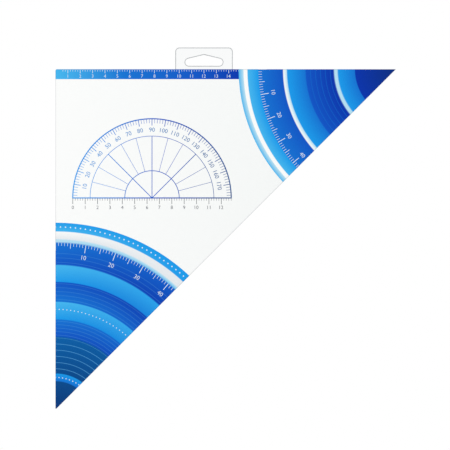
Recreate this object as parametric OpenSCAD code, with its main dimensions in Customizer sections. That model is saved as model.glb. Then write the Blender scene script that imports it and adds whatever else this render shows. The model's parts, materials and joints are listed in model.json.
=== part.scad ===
// Adjustable set square with its protractor arc and clamp knob, packed in a printed
// card folder that hangs from a clear plastic tab.
// Millimetres. X right, Z up, Y away from the viewer: the printed face looks along -Y.
// The origin is the middle of the hang slot, on the front face of the clear tab.

/* [Card folder] */
// thickness of the card
card_t = 0.5; // [0.3:0.05:0.8]
// how much longer each straight edge of the card is than the set square's
card_extra = 15; // [12:0.5:24]
// gap between the set square's two straight edges and the card's, on the right-angle side
square_inset = 4.5; // [3:0.25:6]
// depth of the pocket beyond the thickness of the set square
pocket_play = 0.4; // [0.2:0.05:1]
// width of the two narrow flaps folded behind the set square
flap_w = 22; // [16:1:30]
// radius of the card's right-angle corner
card_corner_r = 1.2; // [0.5:0.1:3]
// blunted width at the lower tip of the card
card_tip_cut = 0.8; // [0.2:0.1:2]

/* [Hang tab] */
// thickness of the clear plastic tab
tab_t = 0.4; // [0.25:0.05:0.6]
// width of the tab
tab_w = 46.4; // [42:0.2:56]
// height of the tab that shows above the card
tab_rise = 17.7; // [16:0.1:24]
// height of the tab that is stuck to the card
tab_grip = 19; // [14:0.5:21]
// radius of the tab's corners
tab_corner_r = 3.2; // [1:0.1:5]
// distance from the card's upright edge to the middle of the tab
tab_from_side = 120; // [80:1:160]
// width of the hang slot
slot_w = 30.4; // [28:0.1:36]
// radius of the slot's two round ends
slot_end_r = 3; // [2.8:0.1:4]
// radius of the slot's peak
slot_peak_r = 3; // [2:0.1:4]
// height of the slot at its peak
slot_h = 8.9; // [8.6:0.1:11]
// height of the slot's lower edge above the card
slot_lift = 2.9; // [1:0.1:3]
// thickness of the adhesive pad under the tab
adhesive_t = 0.1; // [0.05:0.01:0.2]

/* [Set square] */
// straight edges of the closed set square, to where its slanted edge would meet them
square_leg = 260; // [250:1:290]
// thickness of the acrylic sheet
sheet_t = 3.175; // [3:0.005:4]
// radius of the rounded pivot end, which touches both of its ruling edges
pivot_r = 16; // [15.5:0.25:17]
// width of the swinging arm
arm_w = 20; // [19:0.25:21]
// gap between the arm and the body when the set square is closed
edge_gap = 0.3; // [0.15:0.05:0.5]
// blunted width of the arm's sharp tip
arm_tip_cut = 1.5; // [0.5:0.1:3]
// corner radius of the see-through window
window_r = 6; // [3:0.5:10]
// wall between the window and the arc's channel
window_wall = 12; // [8:0.5:20]
// distance of the window's upper side below the pivot's middle
window_top = 12; // [8:0.5:20]
// width of the body's rim between the window and the arm
window_side = 18; // [14:0.5:24]

/* [Protractor arc] */
// radius about the pivot of the arc's clamp slot
scale_r = 176; // [165:1:180]
// width of the arc from the clamp slot's middle to its outer edge
arc_outer_w = 19; // [17:0.5:22]
// width of the arc from the clamp slot's middle to its inner edge
arc_inner_w = 21; // [19:0.5:24]
// thickness of the arc
arc_t = 1.5; // [1.3:0.05:1.7]
// angle through which the arm opens
swing_deg = 45; // [30:1:45]
// distance of the clamp from the pivot's line along the arm
clamp_off = 9.5; // [9:0.1:10]
// plastic left around the end of the clamp slot
slot_end_wall = 2.5; // [1.8:0.1:3]
// distance from the pivot's line along the arm to the arc's straight root on the arm
arc_root = 12; // [11:0.25:13]
// distance of the root's two screws from the arc's inner and outer edge
screw_inset = 8.5; // [7:0.25:10]
// distance of the root's two screws from the pivot's line along the arm
screw_off = 5; // [4:0.25:6]
// radius of the root screws' shanks
screw_r = 1.1; // [0.8:0.05:1.3]
// radius of the root screws' flat heads
screw_head_r = 2.3; // [1.8:0.1:2.6]
// thickness of the root screws' flat heads
screw_head_t = 0.8; // [0.6:0.05:1]
// width of the finest graduation lines
line_w = 0.16; // [0.12:0.01:0.22]
// depth of the engraved and filled lines
line_d = 0.2; // [0.1:0.05:0.4]
// length of the shortest graduation lines
tick_len = 2; // [1.6:0.1:2.2]
// how much longer each coarser kind of graduation line is
tick_step = 1.5; // [1:0.1:1.6]
// distance of each scale's base line from the edge that it follows
scale_margin = 1.2; // [0.8:0.1:2]
// length of the body's index line
index_len = 9; // [6:0.5:10]

/* [Clamp and hinge] */
// radius of the clamp's screw
stud_r = 1.5; // [1.2:0.1:1.6]
// wall of the brass sleeve that guides the arc's slot
sleeve_wall = 0.85; // [0.7:0.05:1]
// radius of the insert's flange
flange_r = 4.6; // [4.2:0.1:5.5]
// thickness of the insert's flange
flange_t = 0.6; // [0.4:0.05:0.8]
// how far the insert's body is wider than its sleeve
shoulder_w = 0.8; // [0.5:0.1:1]
// radius of the clamp washer
washer_r = 7; // [6:0.25:8]
// thickness of the clamp washer
washer_t = 1.2; // [0.8:0.1:2]
// radius of the knob
knob_r = 8; // [7:0.25:10]
// height of the knob
knob_h = 9; // [7:0.5:12]
// height of the narrow hub between the washer and the knob's grip
hub_h = 1.5; // [1:0.1:2]
// how far the hub is set in from the knob's rim
hub_inset = 2.5; // [2:0.1:3]
// width and height of the bevel round the knob's top
knob_bevel = 0.8; // [0.4:0.1:1.2]
// number of finger grooves around the knob
knob_flutes = 16; // [10:2:20]
// radius of the knob's finger grooves
flute_r = 0.95; // [0.7:0.05:1.1]
// plastic over the screw's end in the top of the knob
knob_cover = 2.5; // [1.5:0.1:3.5]
// radius of the hinge rivet's shank
rivet_r = 3; // [2.5:0.1:3.5]
// radius of the hinge rivet's two flat heads
rivet_head_r = 5.5; // [5:0.25:6.5]
// thickness of the hinge rivet's two flat heads
rivet_head_t = 0.7; // [0.5:0.05:0.8]
// radial clearance of the turning fits
run_gap = 0.05; // [0.02:0.01:0.1]
// clearance between faces that turn or slide on each other
face_gap = 0.05; // [0.02:0.01:0.1]

/* [Hidden] */
$fn = 96;
hyp = sqrt(2);
card_leg = square_leg + card_extra;
card_x = -tab_from_side;
card_z = -(slot_h / 2 + slot_lift);
pocket_d = sheet_t + pocket_play;
// the printed face, the two flaps and the tab, from front to back
face_y = -(2 * card_t + pocket_d + adhesive_t);
flap_y = face_y + card_t + pocket_d;
side_flap_y = flap_y + card_t;
tab_y = side_flap_y + adhesive_t;
tab_top = card_z + tab_rise;
tab_low = card_z - tab_grip;
fold_relief = card_corner_r + 0.3;

// the set square's right-angle corner and its thickness in the folder
square_x = card_x + square_inset;
square_z = card_z - square_inset;
square_y = face_y + card_t + pocket_play / 2;
half_t = sheet_t / 2 - face_gap / 2;
back_y = square_y + sheet_t;

// the pivot, seen from the right-angle corner
pivot_u = square_leg - pivot_r / tan(22.5);
pivot_v = -pivot_r;
body_edge = pivot_r - arm_w - edge_gap;
body_leg = square_leg - hyp * (arm_w + edge_gap);

// the arc lies in a channel cut in the back of the body and in the back of the arm
arc_in_r = scale_r - arc_inner_w;
arc_out_r = scale_r + arc_outer_w;
arc_low = sheet_t - arc_t - face_gap;
arc_top = arc_low + arc_t;
screw_radii = [arc_in_r + screw_inset, arc_out_r - screw_inset];
sleeve_r = stud_r + run_gap + sleeve_wall;
clamp_slot_r = sleeve_r + 2 * run_gap;
clamp_deg = asin(clamp_off / scale_r);
arc_margin = pivot_r - clamp_off - clamp_slot_r - slot_end_wall;

// the clamp's centre in the folder
clamp_x = square_x + pivot_u + scale_r * cos(225 - clamp_deg);
clamp_z = square_z + pivot_v + scale_r * sin(225 - clamp_deg);
pivot_x = square_x + pivot_u;
pivot_z = square_z + pivot_v;
washer_y = square_y + arc_top + face_gap / 2;
knob_y = washer_y + washer_t + face_gap / 2;
// the screws stop short of the front face
screw_skin = 0.4;
stud_low = square_y + screw_skin;
stud_high = knob_y + knob_h - knob_cover;
barrel_r = sleeve_r + shoulder_w;
index_r = arc_out_r + 0.6;
screw_slot_w = 0.6;
screw_slot_d = 0.35;
bold_w = 1.5 * line_w;

// a flat sheet drawn in X and Z, from y = y0 to y = y0 + t
module sheet(y0, t) {
  translate([0, y0 + t, 0])
    rotate([90, 0, 0])
      linear_extrude(height = t)
        children();
}

// a round bar along Y
module bar(x, z, y0, h, r) {
  translate([x, y0 + h, z])
    rotate([90, 0, 0])
      cylinder(h = h, r = r);
}

// places a plan drawn from the card's right-angle corner
module on_card() {
  translate([card_x, card_z])
    children();
}

// places a plan drawn from the set square's right-angle corner
module on_square() {
  translate([square_x, square_z])
    children();
}

// places a plan drawn from the pivot
module at_pivot() {
  translate([pivot_x, pivot_z])
    children();
}

// places a plan drawn from the pivot with its first axis along the closed arm
// and its second axis out towards the arm's ruling edge
module along_arm() {
  at_pivot()
    rotate(225)
      children();
}

// ---------------------------------------------------------------- card folder

module card_plan() {
  on_card()
    difference() {
      polygon([[0, 0], [card_leg, 0], [card_tip_cut, card_tip_cut - card_leg],
        [0, card_tip_cut - card_leg]]);
      // rounds the right-angle corner
      difference() {
        translate([-1, -card_corner_r])
          square([card_corner_r + 1, card_corner_r + 1]);
        translate([card_corner_r, -card_corner_r])
          circle(r = card_corner_r);
      }
    }
}

module front_panel() {
  color([0.2, 0.55, 0.85])
    sheet(face_y, card_t)
      card_plan();
}

module top_spine() {
  color([0.88, 0.88, 0.86])
    translate([card_x + fold_relief, face_y + card_t, card_z - card_t])
      cube([card_leg - fold_relief - flap_w, pocket_d, card_t]);
}

module top_flap() {
  color([0.9, 0.9, 0.88])
    sheet(flap_y, card_t)
      on_card()
        polygon([[fold_relief, 0], [card_leg - flap_w, 0],
          [card_leg - 2 * flap_w, -flap_w], [fold_relief, -flap_w]]);
}

module side_spine() {
  color([0.88, 0.88, 0.86])
    translate([card_x, face_y + card_t, card_z - card_leg + flap_w])
      cube([card_t, pocket_d + card_t, card_leg - fold_relief - flap_w]);
}

module side_flap() {
  color([0.9, 0.9, 0.88])
    sheet(side_flap_y, card_t)
      on_card()
        polygon([[0, -fold_relief], [flap_w, -fold_relief],
          [flap_w, 2 * flap_w - card_leg], [0, flap_w - card_leg]]);
}

// ------------------------------------------------------------------- hang tab

// points along an arc about c, from angle a0 to a1
function arc_points(c, r, a0, a1, steps = 12) =
  [for (i = [0 : steps])
    c + r * [cos(a0 + (a1 - a0) * i / steps), sin(a0 + (a1 - a0) * i / steps)]];

// slot with two round ends, whose upper edge rises to a rounded peak
module hang_slot_plan() {
  side = slot_w / 2 - slot_end_r;
  ends_z = slot_end_r - slot_h / 2;
  peak = [0, slot_h / 2 - slot_peak_r];
  rise = peak[1] - ends_z;
  slope = atan(rise / side) + asin((slot_peak_r - slot_end_r) / norm([side, rise]));
  polygon(concat(
    arc_points([side, ends_z], slot_end_r, -90, 90 - slope),
    arc_points(peak, slot_peak_r, 90 - slope, 90 + slope, 4),
    arc_points([-side, ends_z], slot_end_r, 90 + slope, 270)));
}

// a rounded rectangle from its lower left to its upper right corner
module round_plate(x0, z0, x1, z1, r) {
  polygon(concat(
    arc_points([x1 - r, z0 + r], r, -90, 0),
    arc_points([x1 - r, z1 - r], r, 0, 90),
    arc_points([x0 + r, z1 - r], r, 90, 180),
    arc_points([x0 + r, z0 + r], r, 180, 270)));
}

module hang_tab() {
  color([0.93, 0.95, 0.96, 0.4])
    sheet(tab_y, tab_t)
      difference() {
        round_plate(-tab_w / 2, tab_low, tab_w / 2, tab_top, tab_corner_r);
        hang_slot_plan();
      }
}

// the pad holds the tab to the back of the upper flap, level with the side flap
module tab_adhesive() {
  color([0.85, 0.85, 0.75, 0.6])
    sheet(side_flap_y, adhesive_t)
      translate([1 - tab_w / 2, tab_low + 1])
        square([tab_w - 2, tab_grip - 2]);
}

// ------------------------------------------------------------- set square body

// the body's outline: a right triangle cut off below the rounded pivot end
module body_plan() {
  on_square()
    polygon([[0, 0], [pivot_u, 0], [pivot_u, pivot_u - body_leg],
      [0, -body_leg]]);
}

// see-through window between the pivot and the arc's channel, with rounded corners:
// its sides follow the upper edge, the arm and the channel
module window_plan() {
  outer = arc_in_r - window_wall;
  inner = outer - window_r;
  up = window_top + window_r;
  down = window_r + window_side - body_edge;
  a1 = atan(sin(45) / (down / up + cos(45)));
  a2 = asin(up / inner);
  a3 = 45 - asin(down / inner);
  c1 = up / sin(a1) * [-cos(a1), -sin(a1)];
  c2 = inner * [-cos(a2), -sin(a2)];
  c3 = inner * [-cos(a3), -sin(a3)];
  n1 = [0, window_r];
  n2 = window_r / hyp * [1, -1];
  at_pivot()
    union() {
      polygon([c1, c2, c3]);
      polygon([c1, c2, c2 + n1, c1 + n1]);
      polygon([c1, c3, c3 + n2, c1 + n2]);
      intersection() {
        circle(r = outer, $fn = 256);
        polygon([0.98 * c2, 1.3 * c2, 1.3 * c3, 0.98 * c3]);
      }
      for (c = [c1, c2, c3])
        translate(c)
          circle(r = window_r);
    }
}

module body_plate() {
  color([0.8, 0.9, 0.93, 0.45])
    difference() {
      union() {
        sheet(square_y, sheet_t)
          body_plan();
        bar(pivot_x, pivot_z, square_y, half_t, pivot_r);
      }
      // the back half of the pivot end belongs to the arm
      bar(pivot_x, pivot_z, square_y + half_t, sheet_t, pivot_r + edge_gap);
      // channel for the arc
      sheet(square_y + arc_low - face_gap, sheet_t)
        at_pivot()
          difference() {
            circle(r = arc_out_r + run_gap, $fn = 256);
            circle(r = arc_in_r - run_gap, $fn = 256);
          }
      sheet(square_y - 1, sheet_t + 2)
        window_plan();
      // stepped hole for the threaded insert
      bar(clamp_x, clamp_z, square_y - 1, 1 + flange_t, flange_r);
      bar(clamp_x, clamp_z, square_y, sheet_t, barrel_r);
      // stepped hole for the hinge rivet
      bar(pivot_x, pivot_z, square_y - 1, 1 + rivet_head_t, rivet_head_r);
      bar(pivot_x, pivot_z, square_y, sheet_t, rivet_r);
      index_cut();
    }
}

// the index line is engraved in the body in line with the clamp
module index_cut() {
  sheet(back_y - line_d, 1)
    index_plan();
}

module index_plan() {
  along_arm()
    rotate(-clamp_deg) {
      translate([index_r, -line_w])
        square([index_len, 2 * line_w]);
      translate([index_r + index_len, 0])
        circle(r = 4 * line_w);
    }
}

module index_mark() {
  color([0.12, 0.13, 0.14])
    sheet(back_y - line_d, line_d)
      index_plan();
}

// ----------------------------------------------------------------- swinging arm

module arm_plan() {
  intersection() {
    on_square()
      polygon([[0, 0], [square_leg, 0],
        [arm_tip_cut, arm_tip_cut - square_leg],
        [0, arm_tip_cut - square_leg]]);
    along_arm()
      translate([0, pivot_r - arm_w])
        square([2 * square_leg, arm_w + 1]);
  }
}

module swing_arm() {
  color([0.8, 0.9, 0.93, 0.45])
    difference() {
      union() {
        sheet(square_y, sheet_t)
          arm_plan();
        bar(pivot_x, pivot_z, square_y, sheet_t, pivot_r);
      }
      // the front half of the pivot end belongs to the body
      bar(pivot_x, pivot_z, square_y - 1, sheet_t - half_t + 1, pivot_r + edge_gap);
      bar(pivot_x, pivot_z, square_y, sheet_t, rivet_r + run_gap);
      bar(pivot_x, pivot_z, back_y - rivet_head_t - face_gap, sheet_t,
        rivet_head_r + run_gap);
      // seat for the arc
      sheet(square_y + arc_low, sheet_t)
        intersection() {
          at_pivot()
            difference() {
              circle(r = arc_out_r, $fn = 256);
              circle(r = arc_in_r, $fn = 256);
            }
          arc_root_side();
        }
      for (r = screw_radii)
        arc_screw_shank(r);
    }
}

// everything on the body's side of the arc's straight root
module arc_root_side() {
  along_arm()
    translate([0, arc_root - 4 * scale_r])
      square([2 * scale_r, 4 * scale_r]);
}

// --------------------------------------------------------------- protractor arc

// round-ended curved slot that the clamp's sleeve runs in
module clamp_slot_plan() {
  last = clamp_deg + swing_deg;
  along_arm()
    union() {
      intersection() {
        difference() {
          circle(r = scale_r + clamp_slot_r, $fn = 256);
          circle(r = scale_r - clamp_slot_r, $fn = 256);
        }
        polygon([[0, 0], [1.3 * scale_r * cos(clamp_deg), -1.3 * scale_r * sin(clamp_deg)],
          [1.3 * scale_r * cos(last), -1.3 * scale_r * sin(last)]]);
      }
      for (a = [clamp_deg, last])
        rotate(-a)
          translate([scale_r, 0])
            circle(r = clamp_slot_r);
    }
}

module arc_plan() {
  difference() {
    intersection() {
      at_pivot()
        difference() {
          circle(r = arc_out_r, $fn = 256);
          circle(r = arc_in_r, $fn = 256);
        }
      arc_root_side();
      // the far end is cut parallel to the upper ruling edge
      at_pivot()
        rotate(45 - swing_deg)
          translate([-3 * scale_r, -3 * scale_r])
            square([3 * scale_r, 3 * scale_r + pivot_r - arc_margin]);
    }
    clamp_slot_plan();
  }
}

module protractor_arc() {
  color([0.85, 0.93, 0.95, 0.45])
    difference() {
      sheet(square_y + arc_low, arc_t)
        arc_plan();
      sheet(square_y + arc_top - line_d, 1)
        union() {
          degree_plan();
          slope_plan();
          rise_plan();
        }
      for (r = screw_radii)
        arc_screw_head(r);
    }
}

// a line from radius r0 outwards to r1, at the given opening angle
module tick(deg, r0, r1, w) {
  along_arm()
    rotate(-clamp_deg - deg)
      translate([r0, -w / 2])
        square([r1 - r0, w]);
}

// the line along which a scale's ticks stand
module base_line(r) {
  along_arm()
    intersection() {
      difference() {
        circle(r = r + line_w / 2, $fn = 256);
        circle(r = r - line_w / 2, $fn = 256);
      }
      rotate(-clamp_deg)
        polygon([[0, 0], [1.3 * scale_r, line_w / 2],
          [1.3 * scale_r * cos(swing_deg), -1.3 * scale_r * sin(swing_deg) - line_w / 2]]);
    }
}

// length of a graduation line, longer for each coarser kind
function tick_length(kind) = tick_len + kind * tick_step;

// lines of half, whole, five and ten degrees differ in length
module degree_plan() {
  r = arc_out_r - scale_margin;
  union() {
    base_line(r);
    for (i = [0 : 2 * swing_deg])
      tick(i / 2, r - tick_length(i % 20 == 0 ? 3 : i % 10 == 0 ? 2 : i % 2 == 0 ? 1 : 0),
        r, i % 10 == 0 ? bold_w : line_w);
  }
}

// rise for each hundred of run
module slope_plan() {
  r = arc_in_r + scale_margin;
  union() {
    base_line(r);
    for (i = [0 : 2 : 100])
      if (atan(i / 100) <= swing_deg)
        tick(atan(i / 100), r, r + tick_length(i % 10 == 0 ? 1.5 : 0.5),
          i % 10 == 0 ? bold_w : line_w);
  }
}

// rise in inches for each foot of run, in quarters
module rise_plan() {
  r = scale_r - clamp_slot_r - scale_margin;
  union() {
    base_line(r);
    for (i = [0 : 48])
      if (atan(i / 48) <= swing_deg)
        tick(atan(i / 48), r - tick_length(i % 4 == 0 ? 1 : i % 2 == 0 ? 0.5 : 0),
          r, i % 4 == 0 ? bold_w : line_w);
  }
}

module scale_fill() {
  sheet(square_y + arc_top - line_d, line_d)
    children();
}

module degree_scale() {
  color([0.12, 0.13, 0.14])
    scale_fill()
      degree_plan();
}

module slope_scale() {
  color([0.12, 0.13, 0.14])
    scale_fill()
      slope_plan();
}

module rise_scale() {
  color([0.12, 0.13, 0.14])
    scale_fill()
      rise_plan();
}

// two flat-headed screws hold the arc's root to the arm
module arc_screw_at(r) {
  a = 225 + asin(screw_off / r);
  translate([pivot_x + r * cos(a), 0, pivot_z + r * sin(a)])
    children();
}

module arc_screw_shank(r) {
  arc_screw_at(r)
    bar(0, 0, square_y + screw_skin, sheet_t, screw_r);
}

module arc_screw_head(r) {
  arc_screw_at(r) {
    bar(0, 0, square_y + arc_low - 1, sheet_t, screw_r);
    bar(0, 0, square_y + arc_top - screw_head_t, sheet_t, screw_head_r);
  }
}

module arc_screws() {
  color([0.8, 0.66, 0.35])
    for (r = screw_radii)
      arc_screw_at(r)
        difference() {
          union() {
            bar(0, 0, square_y + screw_skin, arc_top - screw_skin, screw_r);
            bar(0, 0, square_y + arc_top - screw_head_t, screw_head_t, screw_head_r);
          }
          translate([-2 * screw_head_r, square_y + arc_top - screw_slot_d, -screw_slot_w / 2])
            cube([4 * screw_head_r, 1, screw_slot_w]);
        }
}

// -------------------------------------------------------------- hinge and clamp

module hinge_rivet() {
  color([0.83, 0.68, 0.36])
    union() {
      bar(pivot_x, pivot_z, square_y, rivet_head_t, rivet_head_r);
      bar(pivot_x, pivot_z, square_y, sheet_t, rivet_r);
    }
}

module hinge_cap() {
  color([0.83, 0.68, 0.36])
    difference() {
      bar(pivot_x, pivot_z, back_y - rivet_head_t, rivet_head_t, rivet_head_r);
      bar(pivot_x, pivot_z, square_y, 2 * sheet_t, rivet_r);
    }
}

module thread_insert() {
  color([0.83, 0.68, 0.36])
    difference() {
      union() {
        bar(clamp_x, clamp_z, square_y, flange_t, flange_r);
        bar(clamp_x, clamp_z, square_y, arc_low - 2 * face_gap, barrel_r);
        bar(clamp_x, clamp_z, square_y, arc_top - 4 * face_gap, sleeve_r);
      }
      bar(clamp_x, clamp_z, square_y - 1, 2 * sheet_t, stud_r + run_gap);
    }
}

module clamp_washer() {
  color([0.95, 0.95, 0.94])
    difference() {
      bar(clamp_x, clamp_z, washer_y, washer_t, washer_r);
      bar(clamp_x, clamp_z, washer_y - 1, washer_t + 2, stud_r + run_gap);
    }
}

module clamp_stud() {
  color([0.78, 0.78, 0.8])
    bar(clamp_x, clamp_z, stud_low, stud_high - stud_low, stud_r);
}

module clamp_knob() {
  color([0.96, 0.96, 0.95])
    difference() {
      union() {
        bar(clamp_x, clamp_z, knob_y, hub_h, knob_r - hub_inset);
        bar(clamp_x, clamp_z, knob_y + hub_h, knob_h - hub_h - knob_bevel, knob_r);
        translate([clamp_x, knob_y + knob_h - knob_bevel, clamp_z])
          rotate([-90, 0, 0])
            cylinder(h = knob_bevel, r1 = knob_r, r2 = knob_r - knob_bevel);
      }
      bar(clamp_x, clamp_z, knob_y - 1, stud_high - knob_y + 1, stud_r);
      for (i = [0 : knob_flutes - 1])
        translate([clamp_x, 0, clamp_z])
          rotate([0, i * 360 / knob_flutes, 0])
            bar(knob_r + flute_r / 2, 0, knob_y + hub_h - 1, knob_h, flute_r);
    }
}

front_panel();
top_spine();
top_flap();
side_spine();
side_flap();
hang_tab();
tab_adhesive();
body_plate();
swing_arm();
protractor_arc();
arc_screws();
degree_scale();
slope_scale();
rise_scale();
index_mark();
hinge_rivet();
hinge_cap();
thread_insert();
clamp_washer();
clamp_stud();
clamp_knob();
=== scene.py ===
"""Looks of the adjustable set square in its printed hanging folder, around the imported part."""

import json
import math

import bmesh
import bpy
import numpy as np
from mathutils.geometry import tessellate_polygon
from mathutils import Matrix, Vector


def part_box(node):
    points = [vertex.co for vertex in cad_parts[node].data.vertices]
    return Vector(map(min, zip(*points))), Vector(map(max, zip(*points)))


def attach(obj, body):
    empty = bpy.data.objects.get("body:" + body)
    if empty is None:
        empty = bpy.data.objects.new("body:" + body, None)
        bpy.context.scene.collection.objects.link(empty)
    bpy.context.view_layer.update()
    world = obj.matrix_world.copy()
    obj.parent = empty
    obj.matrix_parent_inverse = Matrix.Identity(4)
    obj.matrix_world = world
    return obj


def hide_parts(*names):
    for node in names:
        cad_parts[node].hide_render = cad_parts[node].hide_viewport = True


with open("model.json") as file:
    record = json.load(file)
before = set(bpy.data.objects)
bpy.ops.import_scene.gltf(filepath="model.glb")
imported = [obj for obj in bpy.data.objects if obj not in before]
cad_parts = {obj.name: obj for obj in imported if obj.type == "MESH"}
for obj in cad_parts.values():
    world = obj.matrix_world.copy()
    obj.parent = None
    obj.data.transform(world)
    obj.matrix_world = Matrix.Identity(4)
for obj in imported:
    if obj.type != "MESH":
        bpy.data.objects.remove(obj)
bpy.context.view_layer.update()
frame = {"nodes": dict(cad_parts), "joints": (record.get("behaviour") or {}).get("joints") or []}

# ------------------------------------------------------------ sizes, from the frame

MM = 0.001
HALF_TURN = math.pi
QUARTER = HALF_TURN / 2
FULL_TURN = 2 * HALF_TURN


def node_box(node):
    """Lowest and highest corner of a node, as arrays."""
    low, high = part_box(node)
    return np.array(low), np.array(high)


joints = {joint["name"]: joint for joint in frame["joints"]}
pivot = np.array(joints["arm_swing"]["pos_m"])
clamp = np.array(joints["knob_turn"]["pos_m"])
swing = math.radians(joints["arm_swing"]["range_deg"][1])

face_low, face_high = node_box("front_panel")
card_left, card_top = face_low[0], face_high[2]
card_leg = face_high[0] - face_low[0]
card_t = face_high[1] - face_low[1]
tip_cut = card_leg - (face_high[2] - face_low[2])
fold_relief = node_box("top_flap")[0][0] - card_left
flap_w = node_box("side_flap")[1][0] - card_left
tab_low, tab_high = node_box("hang_tab")
square_low, square_high = node_box("swing_arm")
arc_low, arc_high = node_box("protractor_arc")

# how wide the arc is inside and outside its clamp slot, and that slot's half width
ARC_INNER_W, ARC_OUTER_W, CLAMP_SLOT_R = 21 * MM, 19 * MM, 2.5 * MM
# the arc's circles about the pivot, the angle of its zero line and that of the arm
scale_r = math.hypot(clamp[0] - pivot[0], clamp[2] - pivot[2])
zero_angle = math.atan2(clamp[2] - pivot[2], clamp[0] - pivot[0])
arc_in_r = scale_r - ARC_INNER_W
arc_out_r = scale_r + ARC_OUTER_W
arm_angle = math.radians(225)
# screws and bores of the clamp and the hinge
STUD_BORE_R, SLEEVE_R, SHOULDER_W, FLANGE_T = 1.55 * MM, 2.4 * MM, 0.8 * MM, 0.6 * MM
RIVET_R, RIVET_HEAD_T = 3 * MM, 0.7 * MM
# the hair's breadth that keeps clear pieces from touching what lies against them
CLEAR = 0.005 * MM
# points closer than this are one point
SAME = 1e-7
# how far the acrylic's milled edges are eased, and the rims of its window
EASED, WINDOW_EASED = 0.45 * MM, 0.9 * MM
# a face looks straight to the front or back past FLAT, and sideways below SIDE
FLAT, SIDE = 0.9999, 0.3

# ------------------------------------------------------------------- mesh building


def quads(rows, columns, wrap_rows=False, wrap_columns=False):
    """Four-cornered faces between neighbours on a grid of rows by columns points."""
    r = np.arange(rows if wrap_rows else rows - 1)
    c = np.arange(columns if wrap_columns else columns - 1)
    r, c = np.meshgrid(r, c, indexing="ij")
    r2, c2 = (r + 1) % rows, (c + 1) % columns
    corners = [r * columns + c, r * columns + c2, r2 * columns + c2, r2 * columns + c]
    return np.stack(corners, -1).reshape(-1, 4)


def facing(mesh):
    """The Y part of each face's normal: -1 looks to the front and 1 to the back."""
    normal = np.empty(len(mesh.polygons) * 3)
    mesh.polygons.foreach_get("normal", normal)
    return normal[1::3]


def shade(mesh, smooth_angle):
    """Smooth shading with sharp edges past smooth_angle degrees. Faces that look
    straight to the front or back stay truly flat."""
    mesh.set_sharp_from_angle(angle=math.radians(smooth_angle))
    mesh.polygons.foreach_set("use_smooth", np.abs(facing(mesh)) < FLAT)


def add_object(name, data):
    """A new object in the scene for a mesh, a lamp or a camera."""
    made = bpy.data.objects.new(name, data)
    bpy.context.scene.collection.objects.link(made)
    return made


def mesh_piece(name, points, faces, slots=None):
    """A closed piece from an array of points and lists of faces, with its normals
    turned outwards and its sharp edges kept sharp."""
    mesh = bpy.data.meshes.new(name)
    mesh.from_pydata(np.asarray(points).reshape(-1, 3).tolist(), [], [list(f) for f in faces])
    if slots is not None:
        mesh.polygons.foreach_set("material_index", np.asarray(slots, np.int32))
    work = bmesh.new()
    work.from_mesh(mesh)
    bmesh.ops.remove_doubles(work, verts=work.verts, dist=SAME)
    bmesh.ops.recalc_face_normals(work, faces=work.faces)
    work.to_mesh(mesh)
    work.free()
    shade(mesh, 30)
    return add_object(name, mesh)


def finish_piece(piece, body, materials, replaces=()):
    """Gives a piece its materials, its body and the nodes that it stands for."""
    indices = np.empty(len(piece.data.polygons), np.int32)
    piece.data.polygons.foreach_get("material_index", indices)
    piece.data.materials.clear()
    for material in materials:
        piece.data.materials.append(material)
    piece.data.polygons.foreach_set("material_index", indices)
    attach(piece, body)
    if replaces:
        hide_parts(*replaces)
    return piece


def arc_points(centre, radius, start, end, steps=12):
    """Points centre + radius (cos a, sin a) for a from start to end degrees."""
    a = np.radians(np.linspace(start, end, steps + 1))
    return np.array(centre) + radius * np.stack([np.cos(a), np.sin(a)], -1)


def round_corners(low, high, radius, steps):
    """A rounded rectangle in X and Z, anticlockwise seen from the front: a quarter
    circle inside each corner of the box from low to high."""
    x0, z0, x1, z1 = low[0] + radius, low[2] + radius, high[0] - radius, high[2] - radius
    centres = (x1, z0), (x1, z1), (x0, z1), (x0, z0)
    return np.concatenate([arc_points(c, radius, a, a + 90, steps)
                           for c, a in zip(centres, (-90, 0, 90, 180))])


def inset(loop, distance):
    """A closed outline moved inwards by distance: each corner goes along the mean of
    its two edge normals, far enough for both edges to move by that distance. At a very
    sharp corner it stops short."""
    ahead = np.roll(loop, -1, 0) - loop
    ahead /= np.linalg.norm(ahead, axis=1, keepdims=True)
    behind = np.roll(ahead, 1, 0)
    n1 = np.stack([-ahead[:, 1], ahead[:, 0]], -1)
    n0 = np.stack([-behind[:, 1], behind[:, 0]], -1)
    mean = n0 + n1
    sharpest = 0.35
    mean /= np.maximum((mean * n1).sum(1, keepdims=True), sharpest)
    return loop + distance * mean


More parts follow.
